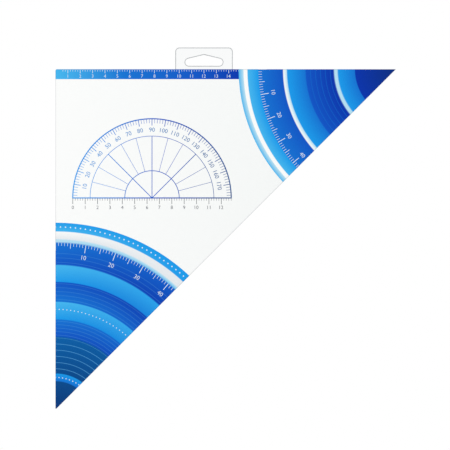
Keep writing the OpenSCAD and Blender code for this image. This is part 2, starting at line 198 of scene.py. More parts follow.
def plate(name, loops, y_front, y_back, front_r, back_r, rim=0.0, steps=4):
    """A flat plate in X and Z: each outline (the first runs anticlockwise seen from the
    front, the holes clockwise) is carried through a wall whose front and back edges are
    quarter circles of radius front_r and back_r, and both faces are filled between the
    innermost outlines. With a rim, a band of that width along every outline takes the
    piece's second material, and so do the walls."""
    a = np.linspace(0, QUARTER, steps + 1)
    depth = [(front_r * (1 - math.sin(t)), y_front + front_r * (1 - math.cos(t))) for t in a]
    depth += [(back_r * (1 - math.cos(t)), y_back - back_r * (1 - math.sin(t))) for t in a]
    if rim:
        depth = [(front_r + rim, y_front)] + depth + [(back_r + rim, y_back)]
    points, faces, count = [], [], 0
    caps = {"front": [], "back": []}
    for loop in loops:
        rings = [np.insert(inset(loop, i), 1, y, axis=1) for i, y in depth]
        points.append(np.concatenate(rings))
        faces += (quads(len(rings), len(loop), wrap_columns=True) + count).tolist()
        caps["front"].append((rings[0], count))
        caps["back"].append((rings[-1], count + (len(rings) - 1) * len(loop)))
        count += len(rings) * len(loop)
    slots = [1 if rim else 0] * len(faces)
    for parts in caps.values():
        index = np.concatenate([start + np.arange(len(ring)) for ring, start in parts])
        fill = tessellate_polygon([[(p[0], p[2], 0) for p in ring] for ring, _ in parts])
        faces += [[int(index[i]) for i in triangle] for triangle in fill]
    slots += [0] * (len(faces) - len(slots))
    return mesh_piece(name, np.concatenate(points), faces, slots)


def thick_sheet(name, outer, inner):
    """A sheet between two grids of points: both grids, and a rim that joins their
    borders. The outer grid takes the first material, the rest the second."""
    rows, columns = outer.shape[:2]
    points = np.concatenate([outer.reshape(-1, 3), inner.reshape(-1, 3)])
    index = np.arange(rows * columns).reshape(rows, columns)
    border = np.concatenate([index[0], index[1:, -1], index[-1, -2::-1], index[-2:0:-1, 0]])
    rim = np.stack([border, np.roll(border, -1), np.roll(border, -1), border], -1)
    rim[:, 2:] += rows * columns
    flat = quads(rows, columns)
    faces = flat.tolist() + (flat[:, ::-1] + rows * columns).tolist() + rim.tolist()
    slots = [0] * len(flat) + [1] * (len(flat) + len(rim))
    return mesh_piece(name, points, faces, slots)


def about(centre, radius, angle, y):
    """Points at radius and angle about the Y line through centre, at depth y."""
    return np.stack([centre[0] + radius * np.cos(angle), y + 0 * angle,
                     centre[2] + radius * np.sin(angle)], -1)


def turned(name, profile, centre, steps=96, relief=None):
    """A body of revolution about the Y line through centre: each (radius, y) of the
    profile becomes a circle of that radius, less relief(row, angle) where one is given."""
    radius, y = np.array(profile).T
    angle = np.linspace(0, FULL_TURN, steps, endpoint=False)
    row, turn = np.meshgrid(np.arange(len(radius)), angle, indexing="ij")
    out = radius[row]
    if relief is not None:
        out = out - relief(row, turn)
    grid = about(centre, out, turn, y[row])
    closed = bool(np.allclose(profile[0], profile[-1]))
    rows = len(profile) - closed
    return mesh_piece(name, grid[:rows], quads(rows, steps, closed, True))


def glyph(text):
    """Points and faces of a number's thick letters, in the font's own units."""
    curve = bpy.data.curves.new("glyph", "FONT")
    curve.body, curve.extrude, curve.resolution_u = text, 0.5, 3
    shape = bpy.data.objects.new("glyph", curve)
    mesh = shape.to_mesh()
    points = np.empty(len(mesh.vertices) * 3)
    mesh.vertices.foreach_get("co", points)
    faces = [list(p.vertices) for p in mesh.polygons]
    shape.to_mesh_clear()
    bpy.data.objects.remove(shape)
    bpy.data.curves.remove(curve)
    return points.reshape(-1, 3), faces


def numerals(name, marks, y, side, proud):
    """Plain numbers as thin plates that stand proud of the face at depth y. side is -1
    for a reader in front and 1 for one behind. Each mark is (text, x, z, height, up):
    a flat glyph's (s, t) goes to its place + s (side x up turned a quarter) + t up."""
    points, faces, count = [], [], 0
    glyphs = {text: glyph(text) for text in dict.fromkeys(mark[0] for mark in marks)}
    for text, x, z, height, up in marks:
        flat, sides = glyphs[text]
        low, high = flat.min(0), flat.max(0)
        s = (flat[:, 0] - (low[0] + high[0]) / 2) * height / (high[1] - low[1])
        t = (flat[:, 1] - (low[1] + high[1]) / 2) * height / (high[1] - low[1])
        up = np.array(up) / np.linalg.norm(up)
        across = side * np.array([-up[1], up[0]])
        place = np.array([x, z]) + s[:, None] * across + t[:, None] * up
        depth = y + side * proud * np.where(flat[:, 2] > 0, 1.0, -1.0)
        points.append(np.stack([place[:, 0], depth, place[:, 1]], -1))
        faces += [[count + i for i in f] for f in sides]
        count += len(flat)
    return mesh_piece(name, np.concatenate(points), faces)


# ------------------------------------------------------------------------ materials


def srgb(red, green, blue):
    """Blender's linear colour for a colour given as 0 to 255 on screen."""
    c = np.array([red, green, blue]) / 255
    return (*np.where(c <= 0.04045, c / 12.92, ((c + 0.055) / 1.055) ** 2.4), 1.0)


class Shader:
    """A material whose nodes are written as formulas on its sockets."""

    def __init__(self, name):
        self.material = bpy.data.materials.new(name)
        self.material.use_nodes = True
        self.tree = self.material.node_tree
        self.surface = self.tree.nodes["Principled BSDF"]
        self.output = self.tree.nodes["Material Output"]

    def node(self, kind, **settings):
        """A new node of a kind, with its settings."""
        made = self.tree.nodes.new("ShaderNode" + kind)
        for key, value in settings.items():
            setattr(made, key, value)
        return made

    def join(self, value, socket):
        """Links another node's output to the socket, or sets its constant."""
        if isinstance(value, bpy.types.NodeSocket):
            self.tree.links.new(value, socket)
        else:
            socket.default_value = value

    def math(self, operation, *values):
        """A sum, product or comparison of numbers and other nodes' outputs."""
        made = self.node("Math", operation=operation)
        for value, socket in zip(values, made.inputs):
            self.join(value, socket)
        return made.outputs[0]

    def mix(self, factor, first, second):
        """The first colour where factor is 0, the second where it is 1."""
        made = self.node("Mix", data_type="RGBA")
        self.join(factor, made.inputs["Factor"])
        self.join(first, made.inputs["A"])
        self.join(second, made.inputs["B"])
        return made.outputs["Result"]

    def place(self):
        """X, Y and Z of the point, in millimetres."""
        spot = self.node("TexCoord").outputs["Object"]
        scaled = self.node("VectorMath", operation="SCALE")
        self.join(spot, scaled.inputs[0])
        scaled.inputs["Scale"].default_value = 1 / MM
        split = self.node("SeparateXYZ")
        self.join(scaled.outputs[0], split.inputs[0])
        return split.outputs[0], split.outputs[1], split.outputs[2]

    def noise(self, scale, detail=3.0, stretch=(1, 1, 1)):
        """Noise on the object's coordinates, scale features to a metre."""
        mapping = self.node("Mapping")
        self.join(self.node("TexCoord").outputs["Object"], mapping.inputs["Vector"])
        mapping.inputs["Scale"].default_value = stretch
        made = self.node("TexNoise")
        self.join(mapping.outputs[0], made.inputs["Vector"])
        made.inputs["Scale"].default_value = scale
        made.inputs["Detail"].default_value = detail
        return made.outputs[0]

    def ramp(self, value, stops):
        """A colour ramp of (place, colour) stops."""
        made = self.node("ValToRGB")
        elements = made.color_ramp.elements
        for place, colour in stops[1:-1]:
            elements.new(place).color = colour
        elements[0].position, elements[0].color = stops[0]
        elements[len(stops) - 1].position, elements[len(stops) - 1].color = stops[-1]
        self.join(value, made.inputs[0])
        return made.outputs[0]

    def both(self, first, second):
        """1 where both masks are 1."""
        return self.math("MULTIPLY", first, second)

    def between(self, value, low, high):
        """1 where value lies between low and high."""
        above, below = self.math("GREATER_THAN", value, low), self.math("LESS_THAN", value, high)
        return self.both(above, below)

    def spread(self, value, low, high):
        """Runs from low to high as value runs from 0 to 1."""
        return self.math("MULTIPLY_ADD", value, high - low, low)

    def bump(self, height, distance):
        """Lets the surface's light follow a height, distance metres deep."""
        made = self.node("Bump")
        made.inputs["Distance"].default_value = distance
        self.join(height, made.inputs["Height"])
        self.join(made.outputs[0], self.surface.inputs["Normal"])

    def set(self, **values):
        """Values for the surface's own sockets, named with underscores for spaces."""
        for key, value in values.items():
            self.join(value, self.surface.inputs[key.replace("_", " ")])

    def let_light_through(self, tint):
        """Rays from lamps pass straight through, so that what lies behind is lit."""
        mixer = self.node("MixShader")
        clear = self.node("BsdfTransparent")
        clear.inputs["Color"].default_value = tint
        self.join(self.node("LightPath").outputs["Is Shadow Ray"], mixer.inputs[0])
        self.join(self.surface.outputs[0], mixer.inputs[1])
        self.join(clear.outputs[0], mixer.inputs[2])
        self.join(mixer.outputs[0], self.output.inputs["Surface"])


WHITE_CARD = srgb(253, 254, 253)
PALE_GREY = srgb(230, 235, 239)
PALE_CYAN = srgb(184, 226, 244)
LIGHT_SKY = srgb(70, 184, 240)
SKY = srgb(24, 156, 236)
MID_BLUE = srgb(18, 116, 212)
ROYAL = srgb(12, 86, 198)
DEEP_BLUE = srgb(2, 52, 172)
TEAL_BLUE = srgb(4, 96, 168)
TEAL_NAVY = srgb(2, 76, 142)
NAVY = srgb(4, 44, 110)
PALE_LINE = srgb(226, 240, 250)
MIST_BLUE = srgb(92, 176, 232)
LINE_GREY = srgb(92, 98, 104)
FOLD_SHADE = srgb(40, 60, 90)
# gloss and roughness of the print, and the distance over which the dial's ink deepens
PRINT_GLOSS, PRINT_ROUGH, INK_REACH = 0.06, (0.3, 0.38), 150.0


def banded(shader, distance, reach, bands):
    """Colour by distance from a fan's centre, from (outer radius, colour at the band's
    inner end, colour at its outer end) in millimetres, from the centre outwards. One
    band runs into the next over twice soft."""
    soft = 0.15
    stops = []
    inner = 0.0
    for outer, near, far in bands:
        stops += [((inner + soft) / reach, near), ((outer - soft) / reach, far)]
        inner = outer
    stops[0] = (0.0, stops[0][1])
    stops[-1] = (1.0, stops[-1][1])
    return shader.ramp(shader.math("DIVIDE", distance, reach), stops)


def polar(shader, u, v, centre):
    """Distance from centre and the angle in degrees above the line to the right."""
    across = shader.math("SUBTRACT", u, centre[0])
    up = shader.math("SUBTRACT", centre[1], v)
    squares = shader.math("ADD", shader.math("POWER", across, 2.0), shader.math("POWER", up, 2.0))
    angle = shader.math("DEGREES", shader.math("ARCTAN2", up, across))
    return shader.math("SQRT", squares), angle


def repeats(shader, value, step, width):
    """1 within half a width of each whole multiple of step."""
    return shader.math("LESS_THAN", shader.math("PINGPONG", value, step / 2), width / 2)


def rays(shader, distance, angle, step, width, low, high):
    """Lines towards the centre, every step degrees, between two radii."""
    limit = shader.math("DEGREES", shader.math("DIVIDE", width / 2, distance))
    near = shader.math("LESS_THAN", shader.math("PINGPONG", angle, step / 2), limit)
    return shader.both(near, shader.between(distance, low, high))


# the printed face, in millimetres to the right of and below the card's square corner
leg_mm = card_leg / MM
LOWER_FAN = (0.0, leg_mm + 7)
LOWER_FAN_R = 158.0
RIGHT_FAN = (leg_mm + 7, 0.0)
RIGHT_FAN_R = 134.0
RULER_H = 8.0
DIAL = (78.0, 104.0)
DIAL_R = 64.0
DIAL_MIDDLE_R, DIAL_HUB_R = 50.0, 22.0
DIAL_RULE_H = 5.0
# outer ends of the two fans' rings of degree lines, and the width of a thin line
LOWER_LINES_R, RIGHT_LINES_R = 142.0, 118.0
THIN_LINE = 0.45


def thin_rings(shader, distance, step, low, high):
    """1 on a fan's thin rings, every step between two radii."""
    rings = repeats(shader, distance, step, THIN_LINE)
    return shader.both(rings, shader.between(distance, low, high))


def degree_lines(shader, distance, angle, outer, lengths, field):
    """Pale lines towards a fan's centre, every 1, 5 and 10 degrees, of those lengths and
    each kind wider than the one before."""
    for step, length, width in zip((1.0, 5.0, 10.0), lengths, (0.3, 0.4, 0.5)):
        lines = rays(shader, distance, angle, step, width, outer - length, outer)
        field = shader.mix(lines, field, PALE_LINE)
    return field


def lower_fan(shader, u, v, field):
    """Rings of blues about the lower tip, with a ring of degree lines and of dots."""
    distance, angle = polar(shader, u, v, LOWER_FAN)
    # outer radius, the two colours at the card's left edge and the two at deepest_u
    bands = [
        (30, NAVY, TEAL_NAVY, NAVY, NAVY), (36, MID_BLUE, SKY, ROYAL, MID_BLUE),
        (66, TEAL_NAVY, TEAL_BLUE, NAVY, TEAL_NAVY), (80, ROYAL, MID_BLUE, DEEP_BLUE, ROYAL),
        (94, SKY, LIGHT_SKY, MID_BLUE, SKY), (110, MID_BLUE, ROYAL, ROYAL, DEEP_BLUE),
        (124, SKY, LIGHT_SKY, MID_BLUE, SKY), (LOWER_LINES_R, ROYAL, MID_BLUE, DEEP_BLUE, ROYAL),
        (144.5, PALE_CYAN, PALE_CYAN, LIGHT_SKY, PALE_CYAN),
        (151, PALE_GREY, WHITE_CARD, PALE_GREY, PALE_GREY),
        (LOWER_FAN_R, LIGHT_SKY, SKY, SKY, SKY)]
    deepest_u = 110.0
    light = banded(shader, distance, LOWER_FAN_R, [band[:3] for band in bands])
    deep = banded(shader, distance, LOWER_FAN_R, [band[:1] + band[3:] for band in bands])
    share = shader.math("SMOOTH_MIN", shader.math("DIVIDE", u, deepest_u), 1.0, 0.2)
    rings = shader.mix(share, light, deep)
    for step, low, high, strength in (
            (5.0, 37, 65, 0.55), (2.8, 67, 79, 0.22), (3.2, 95, 109, 0.2), (3.6, 125, 134, 0.2)):
        thin = thin_rings(shader, distance, step, low, high)
        rings = shader.mix(shader.both(thin, strength), rings, MIST_BLUE)
    rings = degree_lines(shader, distance, angle, LOWER_LINES_R, (2.6, 4.4, 6.6), rings)
    for ring, step, size in ((154.6, 1.5, 0.55), (33.0, 5.0, 0.45), (88.0, 2.0, 0.4)):
        along = shader.math("RADIANS", shader.math("PINGPONG", angle, step / 2))
        along = shader.math("MULTIPLY", along, ring)
        off = shader.math("SUBTRACT", distance, ring)
        dot = shader.math("ADD", shader.math("POWER", along, 2.0), shader.math("POWER", off, 2.0))
        rings = shader.mix(shader.math("LESS_THAN", dot, size ** 2), rings, PALE_LINE)
    return shader.mix(shader.math("LESS_THAN", distance, LOWER_FAN_R), field, rings)


def right_fan(shader, u, v, field):
    """Rings of blues about the right tip, with a ring of degree lines."""
    distance, angle = polar(shader, u, v, RIGHT_FAN)
    rings = banded(shader, distance, RIGHT_FAN_R, [
        (40, NAVY, DEEP_BLUE), (54, MID_BLUE, SKY), (57, PALE_CYAN, PALE_CYAN),
        (80, DEEP_BLUE, ROYAL), (95, MID_BLUE, SKY), (98, PALE_CYAN, WHITE_CARD),
        (RIGHT_LINES_R, ROYAL, MID_BLUE), (127, SKY, LIGHT_SKY), (130, WHITE_CARD, WHITE_CARD),
        (RIGHT_FAN_R, PALE_CYAN, LIGHT_SKY)])
    rings = degree_lines(shader, distance, angle, RIGHT_LINES_R, (2.8, 4.6, 6.6), rings)
    thin = thin_rings(shader, distance, 4.0, 58, 79)
    rings = shader.mix(shader.both(thin, 0.5), rings, MID_BLUE)
    return shader.mix(shader.math("LESS_THAN", distance, RIGHT_FAN_R), field, rings), distance


def ruler_stripe(shader, u, v, field, right_distance):
    """A rule along the card's upper edge, light at the left and deep at the right."""
    stripe = shader.ramp(shader.math("DIVIDE", u, leg_mm), [
        (0.0, LIGHT_SKY), (0.2, MID_BLUE), (0.42, ROYAL), (0.55, DEEP_BLUE), (1.0, ROYAL)])
    first_line, line_top = 4.5, 0.6
    for step, line_end, width in ((2.0, 1.8, 0.3), (10.0, 3.2, 0.4)):
        lines = shader.both(repeats(shader, u, step, width), shader.between(v, line_top, line_end))
        lines = shader.both(lines, shader.math("GREATER_THAN", u, first_line))
        stripe = shader.mix(lines, stripe, PALE_LINE)
    clear = shader.math("GREATER_THAN", right_distance, RIGHT_FAN_R)
    return shader.mix(shader.both(shader.math("LESS_THAN", v, RULER_H), clear), field, stripe)


def half_dial(shader, u, v, field):
    """A half-circle protractor with a rule along its base, in ink that deepens to the
    right."""
    distance, angle = polar(shader, u, v, DIAL)
    share = shader.math("DIVIDE", u, INK_REACH)
    ink = shader.ramp(share, [(0.1, SKY), (0.55, ROYAL), (0.95, TEAL_NAVY)])
    upper = shader.math("LESS_THAN", v, DIAL[1] + 0.25)
    bold = 0.9
    for step, low, width in ((2.0, 60.4, 0.35), (10.0, 58.6, 0.55)):
        lines = rays(shader, distance, angle, step, width, low, DIAL_R)
        field = shader.mix(shader.both(lines, upper), field, ink)
    for radius, width in ((DIAL_R, bold), (DIAL_MIDDLE_R, THIN_LINE), (DIAL_HUB_R, 0.6)):
        ring = shader.between(distance, radius - width / 2, radius + width / 2)
        field = shader.mix(shader.both(ring, upper), field, ink)
    for step, width, low in ((15.0, 0.35, DIAL_HUB_R), (45.0, 0.6, 0.0)):
        lines = rays(shader, distance, angle, step, width, low, DIAL_MIDDLE_R)
        field = shader.mix(shader.both(lines, upper), field, ink)
    across = shader.between(u, DIAL[0] - DIAL_R - bold / 2, DIAL[0] + DIAL_R + bold / 2)
    base = shader.between(v, DIAL[1] - bold / 2, DIAL[1] + bold / 2)
    field = shader.mix(shader.both(base, across), field, ink)
    from_end = shader.math("SUBTRACT", u, DIAL[0] - DIAL_R)
    for step, length, width in ((2.0, 2.2, 0.3), (10.0, DIAL_RULE_H, 0.45)):
        lines = repeats(shader, from_end, step, width)
        lines = shader.both(lines, shader.between(v, DIAL[1], DIAL[1] + length))
        field = shader.mix(shader.both(lines, across), field, LINE_GREY)
    return field


def printed_card():
    """Glossy white board printed in blues: a fan of rings round each sharp corner, a
    rule along the upper edge and a half dial in the white field. The ink ends just past
    the folds."""
    shader = Shader("printed_card")
    x, y, z = shader.place()
    u = shader.math("SUBTRACT", x, card_left / MM)
    v = shader.math("SUBTRACT", card_top / MM, z)
    # the white field is painted a little darker towards the right: painted shade for light that
    # falls more strongly from the left
    field = shader.mix(shader.math("DIVIDE", u, leg_mm), WHITE_CARD, srgb(246, 249, 248))
    field = half_dial(shader, u, v, field)
    field = lower_fan(shader, u, v, field)
    field, right_distance = right_fan(shader, u, v, field)
    field = ruler_stripe(shader, u, v, field, right_distance)
    # the cut slanted edge and the two folds get a thin darker line of painted shade; 0.7 turns
    # what u + v lacks of the leg into the distance from the slanted edge
    slant = shader.math("MULTIPLY", shader.math("SUBTRACT", leg_mm, shader.math("ADD", u, v)), 0.7)
    edge = shader.math("MINIMUM", slant, shader.math("MINIMUM", u, v))
    shade_w, shade_strength, ink_past_fold = 0.45, 0.28, 0.8
    shade = shader.both(shader.math("LESS_THAN", edge, shade_w), shade_strength)
    field = shader.mix(shade, field, FOLD_SHADE)
    wrapped = shader.math("GREATER_THAN", y, face_high[1] / MM + ink_past_fold)
    field = shader.mix(wrapped, field, srgb(243, 244, 242))
    shader.set(Base_Color=field, Roughness=shader.spread(shader.noise(60), *PRINT_ROUGH),
               Specular_IOR_Level=PRINT_GLOSS)
    shader.bump(shader.noise(900, 2.0), 0.00001)
    return shader.material


def plain_board():
    """The board's uncoated side: off-white pulp with faint fibres and specks."""
    shader = Shader("plain_board")
    fibres = shader.noise(1400, 6.0, (1.0, 1.0, 0.35))
    tone = shader.ramp(fibres, [
        (0.3, srgb(186, 181, 169)), (0.5, srgb(206, 201, 190)), (0.75, srgb(219, 215, 205))])
    specks = shader.math("GREATER_THAN", shader.noise(5200, 1.0), 0.76)
    tone = shader.mix(shader.both(specks, 0.4), tone, srgb(132, 125, 112))
    shader.set(Base_Color=tone, Roughness=shader.spread(shader.noise(300), 0.82, 0.95))
    shader.bump(fibres, 0.00004)
    return shader.material


def clear_plastic(name, tint, low, high, depth_tint, density, clearness=1.0):
    """Clear plastic with fine wear in its gloss. Light that travels far inside it, as
    towards an edge, takes on depth_tint by exp(-density (1 - depth_tint) distance). A
    frosted face has less clearness, and scatters the rest."""
    shader = Shader(name)
    shader.set(Base_Color=tint, IOR=1.49, Transmission_Weight=clearness,
               Roughness=shader.spread(shader.noise(220, 5.0), low, high))
    inside = shader.node("VolumeAbsorption")
    inside.inputs["Color"].default_value = depth_tint
    inside.inputs["Density"].default_value = density
    shader.join(inside.outputs[0], shader.output.inputs["Volume"])
    shader.let_light_through(tint)
    return shader.material


def plain(name, tones, tone_noise, roughness, rough_noise, bump=None):
    """A material whose colour runs between two tones and whose roughness runs between
    two values, each by its own noise (scale, detail). Bump is a third noise's scale,
    detail and depth."""
    shader = Shader(name)
    tone = shader.mix(shader.noise(*tone_noise), *(srgb(*t) for t in tones))
    shader.set(Base_Color=tone, Roughness=shader.spread(shader.noise(*rough_noise), *roughness))
    if bump:
        shader.bump(shader.noise(*bump[:2]), bump[2])
    return shader.material


def printed_ink(name, left, right):
    """Ink whose colour runs from left to right across the dial, with slight variation
    in its depth."""
    shader = Shader(name)
    x, _, _ = shader.place()
    across = shader.math("DIVIDE", shader.math("SUBTRACT", x, card_left / MM), INK_REACH)
    tone = shader.ramp(across, [(0.1, left), (0.95, right)])
    tone = shader.mix(shader.both(shader.noise(900), 0.2), tone, NAVY)
    shader.set(Base_Color=tone, Roughness=shader.spread(shader.noise(400), *PRINT_ROUGH),
               Specular_IOR_Level=PRINT_GLOSS)
    return shader.material


def brass():
    """Turned brass, brighter and duller in patches, with a fine grain."""
    shader = Shader("brass")
    tone = shader.ramp(shader.noise(260, 5.0), [
        (0.3, srgb(176, 138, 70)), (0.6, srgb(214, 178, 102)), (0.85, srgb(226, 194, 122))])
    shader.set(Base_Color=tone, Metallic=1.0,
               Roughness=shader.spread(shader.noise(1500, 4.0), 0.2, 0.42))
    shader.bump(shader.noise(3800, 3.0), 0.00001)
    return shader.material


def bright_steel():
    """Bright plated steel with fine drawing marks."""
    shader = Shader("bright_steel")
    marks = shader.noise(2600, 4.0, (1, 0.1, 1))
    tone = shader.mix(marks, srgb(168, 170, 174), srgb(206, 208, 211))
    shader.set(Base_Color=tone, Metallic=1.0, Roughness=shader.spread(marks, 0.18, 0.36))
    return shader.material


PRINTED = printed_card()
BOARD = plain_board()
INK = printed_ink("dial_ink", SKY, TEAL_NAVY)
GREY_INK = printed_ink("grey_ink", srgb(104, 108, 112), srgb(84, 88, 94))
PALE_INK = printed_ink("pale_ink", PALE_LINE, PALE_LINE)
FILM = clear_plastic("clear_film", srgb(249, 250, 250), 0.02, 0.06, srgb(226, 232, 236), 40)
# the tab's cut edge: the film is rougher there, and its grey tint is painted shade along the edge
FILM_EDGE_SHADE = clear_plastic("film_edge_shade", srgb(172, 176, 179), 0.25, 0.4,
                          srgb(200, 206, 210), 40)
# the tint and density of the acrylic's depth
DEPTH = srgb(196, 236, 238), 14
# the acrylic's materials, in the order that by_side gives them to its faces
ACRYLIC = (clear_plastic("clear_acrylic", srgb(254, 255, 255), 0.0, 0.02, *DEPTH),
           # the eased edges are tinted dark teal: painted shade for the dark lines at the
           # acrylic's polished edges
           clear_plastic("eased_edge_shade", srgb(108, 138, 144), 0.06, 0.14, *DEPTH),
           clear_plastic("milled_edge", srgb(176, 208, 212), 0.3, 0.5, *DEPTH, 0.45))
# dark paint in the engraved lines, and uneven white paint behind the scales
LINE_FILL = plain("dark_fill", ((22, 24, 28), (40, 42, 46)), (2500,), (0.4, 0.6), (1800,))
BACKING = plain("white_backing", ((240, 241, 240), (250, 250, 249)), (160, 4.0),
                (0.4, 0.55), (900,))
BRASS = brass()
STEEL = bright_steel()
# moulded plastic with a fine satin skin, and a hazy pad of clear adhesive
KNOB_WHITE = plain("white_plastic", ((238, 238, 236), (248, 248, 247)), (500,),
                   (0.3, 0.45), (1200, 4.0), (5200, 2.0, 0.00001))
TACK = plain("soft_adhesive", ((226, 223, 208), (240, 238, 228)), (420, 4.0),
             (0.5, 0.7), (800,), (600, 3.0, 0.00003))

# --------------------------------------------------------------------- card folder


def front_card():
    """The printed front: a rounded square corner and a blunted lower tip. Its front
    edges are pressed round where the board folds back, and its inside is bare board."""
    r, pressed_r, back_r = 1.2 * MM, 0.36 * MM, 0.04 * MM
    corner = arc_points((card_left + r, card_top - r), r, 90, 180, 6)
    low = card_top - card_leg + tip_cut
    rest = [[card_left, low], [card_left + tip_cut, low], [card_left + card_leg, card_top]]
    piece = plate("card_front", [np.concatenate([corner, rest])], face_low[1], face_high[1],
                  pressed_r, back_r)
    piece.data.polygons.foreach_set("material_index", np.int32(facing(piece.data) > 0.5))
    finish_piece(piece, "folder", [PRINTED, BOARD], ["front_panel"])


def flap_grids(y_back, lift):
    """Outer and inner grids of a folded strip, in (along, out, depth): the path runs back
    along the card's edge, round a fold and in across the flap, and the flap's free edge
    rises by lift times the square of its share of the flap's width."""
    fold = 0.9 * MM
    turn = np.linspace(0, QUARTER, 9)
    flat = np.linspace(fold, flap_w, 12)[1:]
    share = np.linspace(0, 1, 49)
    rise = lift * np.sin(HALF_TURN * share) ** 2
    grids = []
    for offset in (0.0, card_t):
        bend = fold - offset
        depth = np.concatenate([[face_high[1]], y_back - fold + bend * np.sin(turn),
                                0 * flat + y_back - offset])
        out = np.concatenate([[-offset], -fold + bend * np.cos(turn), -flat])
        along = fold_relief + (card_leg - flap_w + out[:, None] - fold_relief) * share
        free = np.clip(-out[:, None] / flap_w, 0, 1) ** 2
        grids.append((along, np.repeat(out[:, None], len(share), 1), depth[:, None] + free * rise))
    return grids


def folded_flap(name, node, spine, place, lift):
    """A fold and its flap, from the strip's own axes to the card by place."""
    y_back = node_box(node)[1][1]
    outer, inner = (place(*grid) for grid in flap_grids(y_back, lift))
    piece = thick_sheet(name, outer, inner)
    finish_piece(piece, "folder", [PRINTED, BOARD], [node, spine])


def along_top(along, out, depth):
    """From a strip's own axes to the card's upper edge."""
    return np.stack([card_left + along, depth, card_top + out], -1)


def along_side(along, out, depth):
    """From a strip's own axes to the card's upright edge."""
    return np.stack([card_left - out, depth, card_top - along], -1)


front_card()
SIDE_FLAP_LIFT = 0.6 * MM
folded_flap("upper_flap", "top_flap", "top_spine", along_top, 0.0)
folded_flap("side_flap_fold", "side_flap", "side_spine", along_side, SIDE_FLAP_LIFT)


CARD_INK_T = 0.02 * MM


def card_numbers():
    """Plain numbers of the printed dial, its rule, the upper rule and the two fans.
    Places and heights are in millimetres on the printed face."""
    def spot(u, v):
        """X and Z of a place on the printed face."""
        return card_left + u * MM, card_top - v * MM

    def ring(centre, radius, angles, labels, height, turn=1.0):
        """Labels about a centre, with their tops away from it, or to it where turn is -1."""
        a = np.radians(np.array(angles, float))
        u, v = centre[0] + radius * np.cos(a), centre[1] - radius * np.sin(a)
        return [(label, *spot(p, q), height * MM, (turn * math.cos(b), turn * math.sin(b)))
                for label, p, q, b in zip(labels, u, v, a)]

    tens = list(range(0, 181, 10))
    fan_labels = ["10", "20", "30", "40"]
    dial = ring(DIAL, DIAL_R - 8.8, tens[1:-1], [str(180 - t) for t in tens[1:-1]], 3.4)
    rule_v, upper_v = DIAL[1] + DIAL_RULE_H + 2.6, 5.5
    rule = [(str(i), *spot(DIAL[0] - DIAL_R + 10 * i, rule_v), 2.8 * MM, (0, 1))
            for i in range(13)]
    upper = [(str(i), *spot(10 * i, upper_v), 2.6 * MM, (0, 1)) for i in range(1, 15)]
    low = ring(LOWER_FAN, LOWER_LINES_R - 10.4, [80, 70, 60, 50], fan_labels, 3.4)
    right = ring(RIGHT_FAN, RIGHT_LINES_R - 10.4, [190, 200, 210, 220], fan_labels, 3.2, -1.0)
    for name, marks, ink in (("dial_numbers", dial, INK), ("rule_numbers", rule, GREY_INK),
                             ("ring_numbers", upper + low + right, PALE_INK)):
        piece = numerals(name, marks, face_low[1], -1, CARD_INK_T)
        finish_piece(piece, "folder", [ink])


card_numbers()

# ------------------------------------------------------------------------- hang tab


# the tab's corner and edge radii, and the width of its band of painted edge shade
TAB_CORNER_R, TAB_EDGE_R, TAB_SHADED_RIM = 3.2 * MM, 0.12 * MM, 0.45 * MM
PAD_CORNER_R, PAD_EDGE_R = 0.8 * MM, 0.02 * MM


def slot_outline():
    """The peaked slot: two round ends, and an upper edge that rises from them to a
    rounded peak. It runs clockwise, because it is a hole."""
    width, height, end_r, peak_r = 30.4 * MM, 8.9 * MM, 3.0 * MM, 3.0 * MM
    side, low = width / 2 - end_r, end_r - height / 2
    peak = height / 2 - peak_r
    rise = peak - low
    tilt = math.asin((peak_r - end_r) / math.hypot(side, rise))
    slope = math.degrees(math.atan(rise / side) + tilt)
    loop = np.concatenate([
        arc_points((side, low), end_r, -90, 90 - slope),
        arc_points((0, peak), peak_r, 90 - slope, 90 + slope, 4),
        arc_points((-side, low), end_r, 90 + slope, 270)])
    return loop[::-1]


def hang_tab():
    """The clear tab. Its cut edges and a narrow band beside them take a rougher film, tinted
    grey as painted shade along the edge.
    """
    outline = round_corners(tab_low, tab_high, TAB_CORNER_R, 8)
    piece = plate("clear_hang_tab", [outline, slot_outline()], tab_low[1], tab_high[1],
                  TAB_EDGE_R, TAB_EDGE_R, TAB_SHADED_RIM)
    finish_piece(piece, "folder", [FILM, FILM_EDGE_SHADE], ["hang_tab"])


def adhesive_pad():
    """The tab's pad, a hair thinner than the gap that it fills."""
    low, high = node_box("tab_adhesive")
    outline = round_corners(low, high, PAD_CORNER_R, 6)
    piece = plate("adhesive_pad", [outline], low[1] + CLEAR, high[1] - CLEAR,
                  PAD_EDGE_R, PAD_EDGE_R)
    finish_piece(piece, "folder", [TACK], ["tab_adhesive"])


hang_tab()
adhesive_pad()

# ------------------------------------------------------- knob, washer and screw


def rounded(profile, radius):
    """A closed profile whose corners are cut by quarter arcs of the given radius: each
    corner p becomes the points of a curve that leaves both its edges radius before p."""
    profile = np.array(profile)
    ways = [np.roll(profile, shift, 0) - profile for shift in (1, -1)]
    a, b = (profile + radius * way / np.linalg.norm(way, axis=1, keepdims=True) for way in ways)
    t = np.linspace(0, 1, 5)[None, :, None]
    curve = (1 - t) ** 2 * a[:, None] + 2 * t * (1 - t) * profile[:, None] + t ** 2 * b[:, None]
    points = curve.reshape(-1, 2)
    return np.concatenate([points, points[:1]])


def washer():
    """The plastic washer, with softened edges."""
    low, high = node_box("clamp_washer")
    outer, edge_r = (high[0] - low[0]) / 2, 0.2 * MM
    corners = [(STUD_BORE_R, low[1]), (outer, low[1]), (outer, high[1]), (STUD_BORE_R, high[1])]
    piece = turned("knob_washer", rounded(corners, edge_r), clamp)
    finish_piece(piece, "washer", [KNOB_WHITE], ["clamp_washer"])


